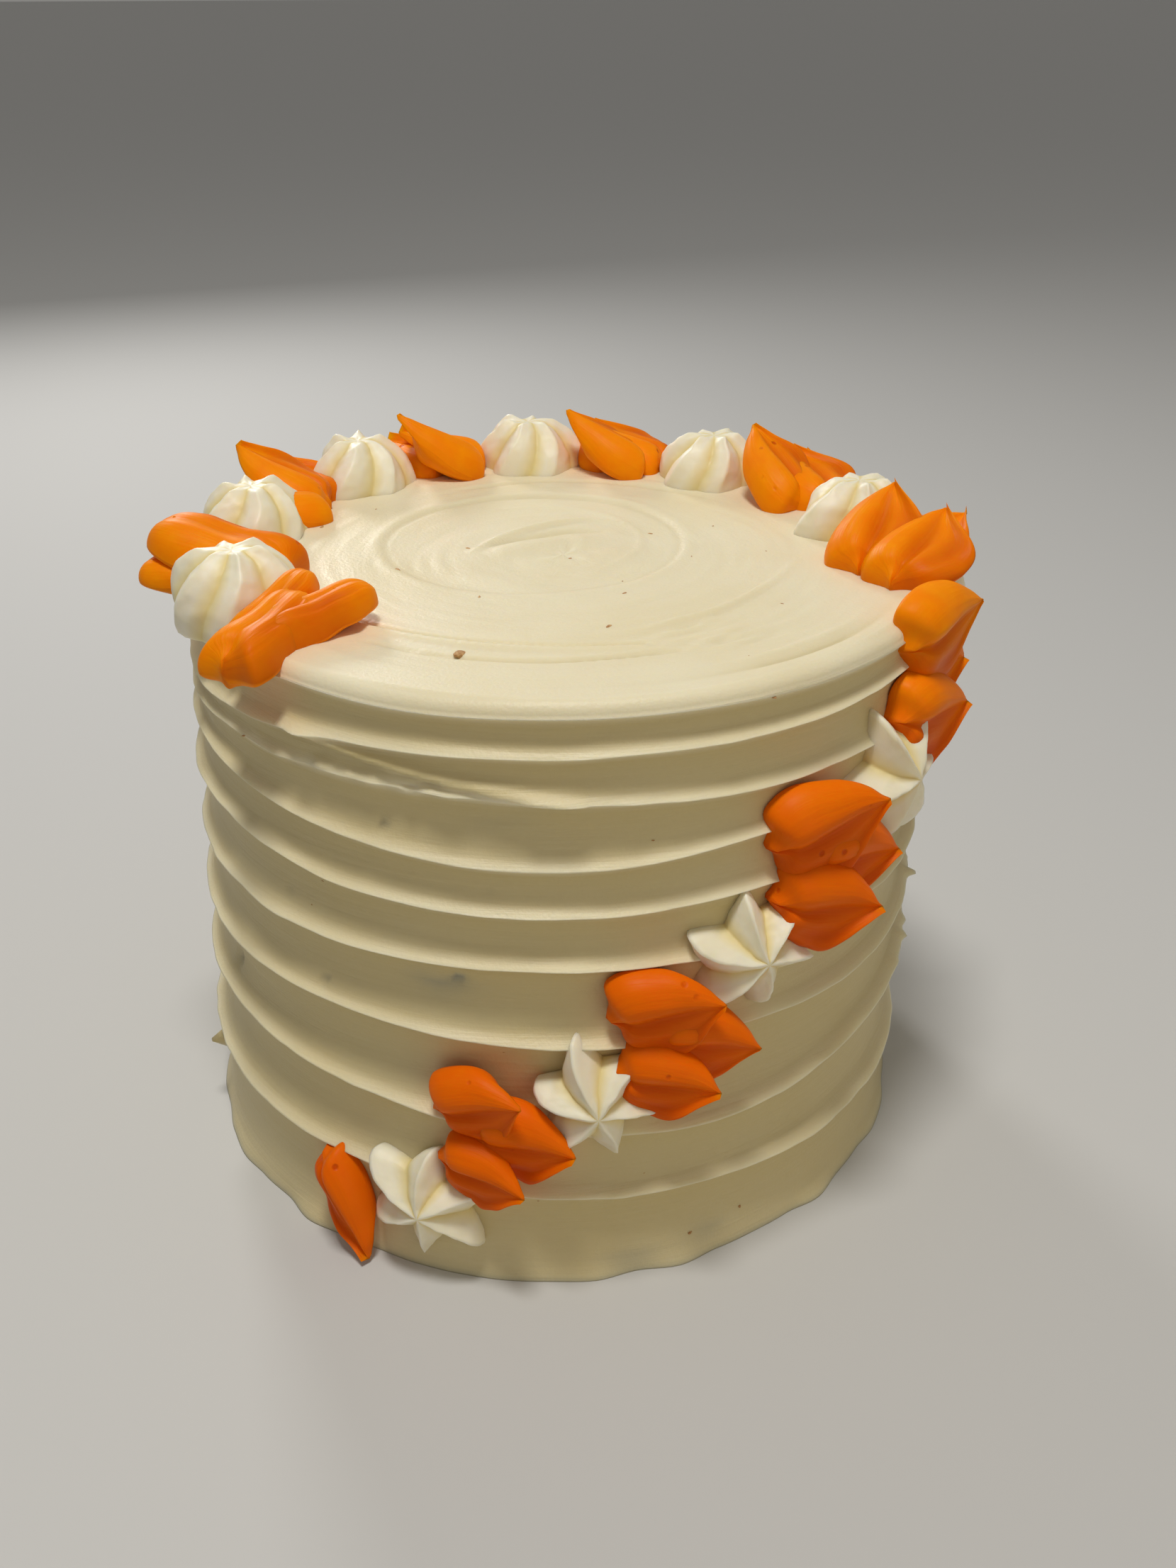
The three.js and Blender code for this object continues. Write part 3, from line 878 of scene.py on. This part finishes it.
# %% Build the star's node tree
STAR_INPUTS = {
    "Radius": 12.8 * MM,
    "Peak": 5.6 * MM,
    "Notch": 0.5,  # how far in the grooves reach at the foot
    "Deep": 0.85,  # and at the peak
    "Edge": 0.7,  # how broad a point is: below 1 its sides bulge
    "Fullness": 1.0,  # lower makes steeper sides
    "Twist": 0.3,
    "Crown": 0.0,  # height of the ragged points
    "Seed": 1.0,
}
POINTS = 6

star_tree, given = new_tree("Piped_star", STAR_INPUTS)


def star_math(operation, *values):
    return add_node(star_tree, "ShaderNodeMath", {"operation": operation}, dict(enumerate(values)))


sheet_sides = {"Size X": 1.0, "Size Y": 1.0, "Vertices X": 24 * POINTS + 1, "Vertices Y": 44}
sheet = add_node(star_tree, "GeometryNodeMeshGrid", None, sheet_sides)
at = add_node(star_tree, "GeometryNodeInputPosition")
around = add_node(star_tree, "ShaderNodeSeparateXYZ", None, {0: at}, "X") + 0.5
up = add_node(star_tree, "ShaderNodeSeparateXYZ", None, {0: at}, "Y") + 0.5
print("The star's grid is", sheet_sides["Vertices X"], "by", sheet_sides["Vertices Y"])

# %% [markdown]
# The crest value is 1 along a point's sharp edge and 0 in the groove between two points. The
# slope runs from just under the foot to the peak, so its cosine gives the reach and its sine the
# height. Some noise and two slow waves make the points uneven, as a hand does.

# %% Write the star's rule
full_turn = 2 * math.pi
LEANING = 0.40  # a point's sharp edge stands before the middle of its share of the round
FOOT_SHARE = 0.0714  # the first rows of the grid make the flat foot
SLOPE_START, SLOPE_RANGE = -0.45, 2.02
part = star_math("FRACT", around * POINTS)
crest = star_math("MINIMUM", part * (1 / LEANING), (1 - part) * (1 / (1 - LEANING)))
foot = star_math("MINIMUM", up * 14, 1)
slope = star_math("MAXIMUM", up - FOOT_SHARE, 0) * (SLOPE_RANGE / (1 - FOOT_SHARE)) + SLOPE_START
sine = star_math("SINE", slope)
waves = star_math("SINE", around * (2 * full_turn) + given["Seed"] * 2.1) * 0.07
waves = waves + star_math("SINE", around * (3 * full_turn) + given["Seed"] * 5.7) * 0.06
notch = given["Notch"] + (given["Deep"] - given["Notch"]) * star_math("MAXIMUM", sine, 0) ** 1.5
away = (1 - crest ** given["Edge"]) * notch  # from the sharp edge, towards the groove
shape = star_math("DIVIDE", 1 - notch, (1 - notch) + away)
profile = star_math("MAXIMUM", star_math("COSINE", slope), 0) ** given["Fullness"]
reach = given["Radius"] * foot * shape * profile * (waves + 1)
spikes = star_math("MAXIMUM", 1 - star_math("ABSOLUTE", up - 0.84) * 9, 0) * crest**2
ragged_tips = star_math("SINE", around * (5 * full_turn) + given["Seed"] * 3.3) * 0.5 + 0.8
hollow = star_math("MAXIMUM", up - 0.88, 0) * 4
height = given["Peak"] * sine + given["Crown"] * (spikes * ragged_tips - hollow)
bearing = around * full_turn + given["Twist"] * sine
flat_x = reach * star_math("COSINE", bearing)
flat_y = reach * star_math("SINE", bearing)
print("One point's rule uses", len(star_tree.nodes), "nodes")

# %% [markdown]
# The sheet's points now move to their places. A small random push roughens the skin, and merging
# by distance closes the seam and both poles. How deep a point lies in a groove is stored for the
# material's painted shade, before the move.

# %% Close the star's skin
# The stored value is the painted shade of the grooves.
marked = add_node(
    star_tree,
    "GeometryNodeStoreNamedAttribute",
    {"data_type": "FLOAT", "domain": "POINT"},
    {"Geometry": sheet, "Name": "groove", "Value": 1 - crest},
)
spot = add_node(star_tree, "ShaderNodeCombineXYZ", None, {"X": flat_x, "Y": flat_y, "Z": height})
moved = add_node(star_tree, "GeometryNodeSetPosition", None, {"Geometry": marked, "Position": spot})
seeded = add_node(star_tree, "ShaderNodeCombineXYZ", None, {"X": given["Seed"] * 7.0, "Y": 0.0, "Z": 0.0})
scatter = {0: at, 1: (260, 260, 260), 2: seeded}
where = add_node(star_tree, "ShaderNodeVectorMath", {"operation": "MULTIPLY_ADD"}, scatter)
rough = {"Geometry": moved, "Offset": random_push(star_tree, where, 1.0, 0.9 * MM)}
uneven = add_node(star_tree, "GeometryNodeSetPosition", None, rough)
merging = {"Geometry": uneven, "Distance": 0.02 * MM}
end_tree(star_tree, add_node(star_tree, "GeometryNodeMergeByDistance", None, merging), star_cream)
print("The star's whole tree has", len(star_tree.nodes), "nodes")

# %% [markdown]
# ## Eleven stars
# Each star is grown from the tree on an empty carrier, with its own seed, and its mesh is then
# moved to its station. The stars on the wall are wider and open, those on the rim taller.

# %% Pipe the stars
WALL_STAR = {
    "Radius": 13.6, "Peak": 6.6, "Notch": 0.44, "Deep": 0.80,
    "Edge": 1.0, "Fullness": 0.85, "Twist": 0.2, "Crown": 0,
}
RIM_STAR = {
    "Radius": 12.9, "Peak": 10.6, "Notch": 0.15, "Deep": 0.42,
    "Edge": 0.9, "Fullness": 0.74, "Twist": 0.4, "Crown": 1.0,
}
LENGTHS = ("Radius", "Peak", "Crown")
star_count = 0
for kind, angle, rise, turn, size in STATIONS:
    if kind != "star":
        continue
    star_count += 1
    sizes = dict(WALL_STAR if rise < CAKE_HEIGHT - 2 else RIM_STAR, Seed=star_count * 1.37)
    for key in LENGTHS:
        sizes[key] *= size * MM
    mesh = grown(star_tree, bpy.data.meshes.new("Star"), sizes)
    mesh.transform(piece_frame(angle, rise, turn))
    node = f"star_{star_count:02d}"
    add_piece(f"Piped_{node}", mesh, star_cream, [node])
print(star_count, "stars, the last with", len(mesh.polygons), "faces")

# %% [markdown]
# ## The leaves' finish
# The orange frosting is smooth and slightly glossy. The leaf tip drags fine lines along each
# leaf, and small air holes pock its surface. Painted shade darkens the fold in its middle, the
# lower flank near its start and the air holes. The leaves low on the wall, lit less from above,
# are painted redder and darker as shade, so the height mixes that in.

# %% Make the leaves' material
ORANGE = (0.94, 0.24, 0.0, 1)
ORANGE_SHADE = (0.56, 0.055, 0.0, 1)
ORANGE_PALE = (0.98, 0.33, 0.0, 1)
ORANGE_LOW_SHADE = (0.80, 0.115, 0.0, 1)  # for the lowest leaves

leaf_orange, tree = new_material("Leaf_orange")
place = object_place(tree)
sweep = attribute(tree, "sweep", "Vector")
drag = noise(tree, sweep, 1.0, 3, 0.55)
mottle = noise(tree, place, 220, 3)
holes = add_node(tree, "ShaderNodeTexVoronoi", None, {"Vector": place, "Scale": 230.0}, "Distance")
keep = ramp(tree, noise(tree, place, 150, 0), (0.60, 0), (0.66, 1))
pit = ramp(tree, holes, (0.08, 1), (0.17, 0)) * keep
color = mix_colors(tree, ramp(tree, mottle, (0.35, 0), (0.75, 0.6)), ORANGE, ORANGE_PALE)
above = add_node(tree, "ShaderNodeSeparateXYZ", None, {0: place}, "Z")
# Painted shade: the lowest leaves, lit less from above, are mixed redder and darker by height.
color = mix_colors(tree, ramp(tree, above * 8, (0.76, 0.8), (0.96, 0)), color, ORANGE_LOW_SHADE)
# Painted shade in the fold, along the second crease and on the lower flank.
color = mix_colors(tree, attribute(tree, "fold"), color, ORANGE_SHADE)
# Painted shade in the air holes.
color = mix_colors(tree, pit * 0.8, color, ORANGE_SHADE)
relief = bumped(tree, drag, 0.35, 0.0006, bumped(tree, 1 - pit, 0.5, 0.0006))
finish_surface(
    tree,
    {
        "Base Color": color,
        "Roughness": drag * 0.2 + 0.34,
        "Normal": relief,
        "Subsurface Weight": 0.3,
        "Subsurface Radius": (1.0, 0.25, 0.03),
        "Subsurface Scale": 0.002,
        "Specular IOR Level": 0.08,
    },
)
print("The leaves mix four oranges with", len(tree.nodes), "nodes")

# %% [markdown]
# ## A piped leaf
# A leaf tip has a slot cut like a V, so a leaf is two thick rolls side by side with a fold
# between them. It starts with a puffed heart-shaped end, sweeps out wider on its lower side, and
# is pulled off to a sharp tip that lifts from the frosting. Its skin is made of closed rings,
# each a slice across the leaf, whose widths come from two flank curves. Where the bag was moved
# on without a pull, the leaf is a thick tongue with a round end instead: the blunt curves.

# %% Shape one leaf
LEAF_LENGTH, LEAF_WIDTH, LEAF_LIFT, LEAF_SUNK = 21.5, 18.0, 4.0, 2.5
UPPER_FLANK = [0, 0.36, 0.50, 0.55, 0.53, 0.46, 0.35, 0.20, 0]
LOWER_FLANK = [0, 0.26, 0.42, 0.52, 0.59, 0.63, 0.46, 0.20, 0]
UPPER_THICK = [3.0, 6.0, 6.9, 6.8, 6.2, 5.2, 4.0, 2.7, 1.0]
LOWER_THICK = [2.5, 4.6, 5.0, 4.4, 3.5, 2.6, 1.8, 1.3, 0.8]
BLUNT_FLANK = [0, 0.42, 0.50, 0.49, 0.46, 0.45, 0.46, 0.47, 0.46]
BLUNT_THICK = [3.0, 5.6, 6.4, 6.2, 5.8, 5.8, 6.0, 6.1, 5.8]
TIP_SIDE = 2.4  # how far the tip stands towards the upper flank
LEAF_SLICES, TOP_POINTS, UNDER_POINTS = 46, 40, 16


def eased(value, start, end):
    """0 before start and 1 after end, with a smooth way between."""
    share = np.clip((value - start) / (end - start), 0, 1)
    return share * share * (3 - 2 * share)


def leaf_mesh(name, seed, size=1.0, slim=1.0, start=0.0, blunt=False):
    """One leaf along x in mm, its upper flank towards y, as a mesh in metres."""
    vary = np.random.default_rng(seed).uniform(-1, 1, 9)
    q = np.linspace(0, 1, LEAF_SLICES)[1:-1, None]
    u = q**1.25
    top_v = -np.cos(np.pi * np.arange(TOP_POINTS) / TOP_POINTS)
    under_v = np.cos(np.pi * np.arange(UNDER_POINTS) / UNDER_POINTS)
    v = np.concatenate([top_v, under_v])[None, :]
    over = np.arange(v.size)[None, :] < TOP_POINTS
    end = (1 - q**7) ** 0.5 if blunt else 1
    upper = smooth_curve(BLUNT_FLANK if blunt else UPPER_FLANK, q) * (1 + 0.07 * vary[0]) * end
    lower = smooth_curve(BLUNT_FLANK if blunt else LOWER_FLANK, q) * (1 + 0.12 * vary[1]) * end
    wave = 1 + 0.025 * np.sin(11 * u + 3 * vary[2]) * (v > 0)
    wave = wave + 0.035 * np.sin(25 * u + 9 * vary[3]) * (v < 0) * u
    flank = np.where(v > 0, upper, lower)
    length, width = LEAF_LENGTH * size, LEAF_WIDTH * size * slim
    # The start is a heart: both rolls bulge back past the notch, the upper one further.
    back = np.where(v > 0, 7.5, 5.0) * size * np.abs(v) ** 1.2 * (flank / 0.5) * (1 - u) ** 3
    notch_spike = 2.6 * np.exp(-((q / 0.05) ** 2))
    x = start + length * u - back - notch_spike
    y = width * flank * v * wave + (TIP_SIDE + vary[4]) * u**1.5 * size
    lift = (LEAF_LIFT + 0.8 * vary[5]) * (0.3 if blunt else 1)
    flap = (1.6 + vary[6]) * eased(-v, 0.3, 1) * eased(u, 0.4, 0.75) * (0.1 if blunt else 1)
    rise = lift * u**2 + flap
    blend = eased(v, -0.75, 0.45)
    thick = (smooth_curve(LOWER_THICK, q) * (1 - blend) + smooth_curve(UPPER_THICK, q) * blend) * size
    if blunt:
        thick = smooth_curve(BLUNT_THICK, q) * size * end + 0 * v
    valley_at = -0.10 + 0.12 * u
    fold = np.exp(-(((v - valley_at) / 0.2) ** 2)) * np.sin(np.pi * np.clip(u * 0.9 + 0.1, 0, 1)) ** 0.7
    fold = fold * (1 - 0.45 * u)
    second = np.exp(-(((v + 0.62) / 0.16) ** 2)) * eased(u, 0.1, 0.5) * (1 - eased(u, 0.7, 1))
    sharpness = np.where(v > 0, 2.6, 4.5)
    body = (1 - np.abs(v) ** sharpness) ** 0.5 * (1 - (0.15 if blunt else 0.42) * fold - 0.12 * second)
    ripple = 0.18 * np.sin(15 * u + 4 * vary[7] + 2 * v) * np.abs(v) ** 2 * np.sin(np.pi * u)
    lines = 0.10 * np.sin(34 * v + 5 * vary[8] + 3 * u) * np.sin(9 * v + 7 * vary[2])
    lines = lines * eased(u, 0.05, 0.3) * (1 - v**2)
    lifted = eased(u + 0.22 * (v < 0) * np.abs(v), 0.50, 0.82) * (0.5 if blunt else 1)
    under = (1 - v**2) ** 0.5 * ((LEAF_SUNK + rise) * (1 - lifted) - 0.4 * lifted)
    z = np.where(over, rise + thick * body + ripple + lines, rise + ripple - under)
    rings = np.stack(np.broadcast_arrays(x, y, z), axis=-1)
    tip = (start + length, (TIP_SIDE + vary[4]) * size, lift + 0.5)
    spike = (start - 3.0, 0, 0.8)
    mesh = closed_skin(name, spike, rings, tip)
    paths = np.stack(np.broadcast_arrays(v * 8 + seed, u * 1.2, over * 1.0 + 0 * u), axis=-1)
    paths = paths.reshape(-1, 3)
    set_attribute(mesh, "sweep", np.vstack([paths[:1], paths, paths[-1:]]))
    # Painted shade for the material: in the fold, along the second crease and on the lower flank near the
    # start.
    flank_shade = 0.45 * eased(-v, 0.1, 0.6) * (1 - eased(u, 0.5, 0.9))
    leaf_shade = (fold * (0.3 if blunt else 0.75) + 0.2 * second + flank_shade) * over
    leaf_shade = np.broadcast_to(np.clip(leaf_shade, 0, 1), z.shape).reshape(-1)
    set_attribute(mesh, "fold", np.concatenate([leaf_shade[:1], leaf_shade, leaf_shade[-1:] * 0]))
    return mesh


print("A leaf's skin has", (LEAF_SLICES - 2) * (TOP_POINTS + UNDER_POINTS), "points")

# %% [markdown]
# ## The leaf groups
# On the wall three leaves share a station: one above, one below, and one behind that shows only
# its tip. Just under the rim the lower one hangs lower. On the rim the leaves point outwards and
# up. At the left the last two groups close the garland: most of their leaves are blunt tongues,
# and those of the very last one point towards the middle of the cake.

# %% Pipe the leaves
GROUPS = {
    "single": [dict(x=-4, y=6, turn=-66, pitch=0, slim=0.54)],
    "cluster": [
        dict(x=-10, y=4.5, turn=10, pitch=6),
        dict(x=-9, y=-7.5, turn=-17, pitch=6, size=0.92, z=0.8),
        dict(x=-3, y=-1, turn=-14, pitch=0),
    ],
    "top_cluster": [
        dict(x=-10, y=4.5, turn=10, pitch=6),
        dict(x=-12.5, y=-9, turn=-6, pitch=6, size=0.95, z=0.8),
        dict(x=-3, y=-1, turn=-14, pitch=0, size=0.9),
    ],
    "side_crown": [
        dict(x=-4, y=6, turn=-26, pitch=30, size=0.92),
        dict(x=-12, y=-1, turn=-30, pitch=22, size=0.92),
        dict(x=4, y=0, turn=-60, pitch=8, size=0.9),
    ],
    "crown": [
        dict(x=-8, y=4, turn=-4, pitch=30, slim=0.85),
        dict(x=-13, y=-2, turn=-14, pitch=12, size=0.9),
        dict(x=-2, y=2, turn=-60, pitch=4, size=0.8),
    ],
    "left_crown": [
        dict(x=-2, y=5, turn=-78, pitch=26),
        dict(x=3, y=7, turn=-40, pitch=8, size=0.85),
        dict(x=-5, y=3, turn=-112, pitch=4, size=0.9),
    ],
    "swept_crown": [
        dict(x=16, y=9, turn=-128, pitch=14, size=1.25, slim=0.85, blunt=True),
        dict(x=6, y=8, turn=-104, pitch=18, size=0.95),
        dict(x=12, y=1, turn=-118, pitch=0, size=0.85, slim=0.8, blunt=True),
    ],
    "closing": [
        dict(x=8, y=1, turn=76, pitch=8, slim=0.62, start=-3, blunt=True),
        dict(x=1, y=1, turn=104, pitch=18, size=0.9, slim=0.62, start=-5, blunt=True),
        dict(x=7, y=-1, turn=106, pitch=8, size=1.05, slim=0.7, start=-11, blunt=True),
    ],
}
PLACING = ("x", "y", "z", "pitch")
leaf_count = 0
for kind, angle, rise, turn, size in STATIONS:
    for leaf in GROUPS.get(kind, []):
        leaf_count += 1
        form = {key: leaf[key] for key in ("slim", "start", "blunt") if key in leaf}
        mesh = leaf_mesh("Leaf", leaf_count, leaf.get("size", 1) * size, **form)
        place = {key: leaf[key] for key in PLACING if key in leaf}
        mesh.transform(piece_frame(angle, rise, leaf["turn"] + turn, **place))
        node = f"leaf_{leaf_count:02d}"
        add_piece(f"Piped_{node}", mesh, leaf_orange, [node])
print(leaf_count, "leaves, the last with", len(mesh.polygons), "faces")

# %% [markdown]
# ## Floor and light
# The cake stands on a plain pale floor. The key light hangs overhead, slightly in front, so each
# crest shades the hollow below it. A wide warm one fills from the front right, a faint one near
# the floor warms the foot, and one behind at the left brightens the far rim.

# %% Set the floor and the lights
FLOOR_REACH = 70.0
floor_mesh = bpy.data.meshes.new("Floor")
floor_corners = [(x * FLOOR_REACH, y * FLOOR_REACH, 0) for x, y in ((-1, -1), (1, -1), (1, 1), (-1, 1))]
floor_mesh.from_pydata(floor_corners, [], [(0, 1, 2, 3)])
floor = bpy.data.objects.new("Floor", floor_mesh)
bpy.context.collection.objects.link(floor)
floor_material, tree = new_material("Pale_floor")
finish_surface(tree, {"Base Color": (0.58, 0.58, 0.57, 1), "Roughness": 0.7})
floor_mesh.materials.append(floor_material)


def add_light(name, place, target, size, power, color):
    """A round area light at a place, turned towards its target."""
    light = bpy.data.lights.new(name, "AREA")
    light.shape = "DISK"
    light.size = size
    light.energy = power
    light.color = color
    lamp = bpy.data.objects.new(name, light)
    lamp.location = place
    lamp.rotation_euler = (Vector(place) - Vector(target)).to_track_quat("Z", "Y").to_euler()
    bpy.context.collection.objects.link(lamp)


add_light("Key", (-0.04, -0.24, 1.05), (0, 0, 0.08), 0.22, 5.8, (1, 0.97, 0.92))
add_light("Fill", (0.6, -1.0, 0.55), (0, 0, 0.06), 0.7, 0.9, (1, 0.91, 0.74))
add_light("Bounce", (0.35, -0.45, 0.05), (0, 0, 0.03), 0.3, 0.22, (1, 0.80, 0.46))
add_light("Rear", (-0.35, 0.8, 0.5), (0, 0, 0.12), 0.2, 2.6, (1, 0.98, 0.95))
world = bpy.data.worlds.new("Soft_room")
world.use_nodes = True
background = world.node_tree.nodes["Background"]
background.inputs["Color"].default_value = (1, 0.97, 0.92, 1)
background.inputs["Strength"].default_value = 0.24
bpy.context.scene.world = world
bpy.context.scene.view_settings.view_transform = "Standard"
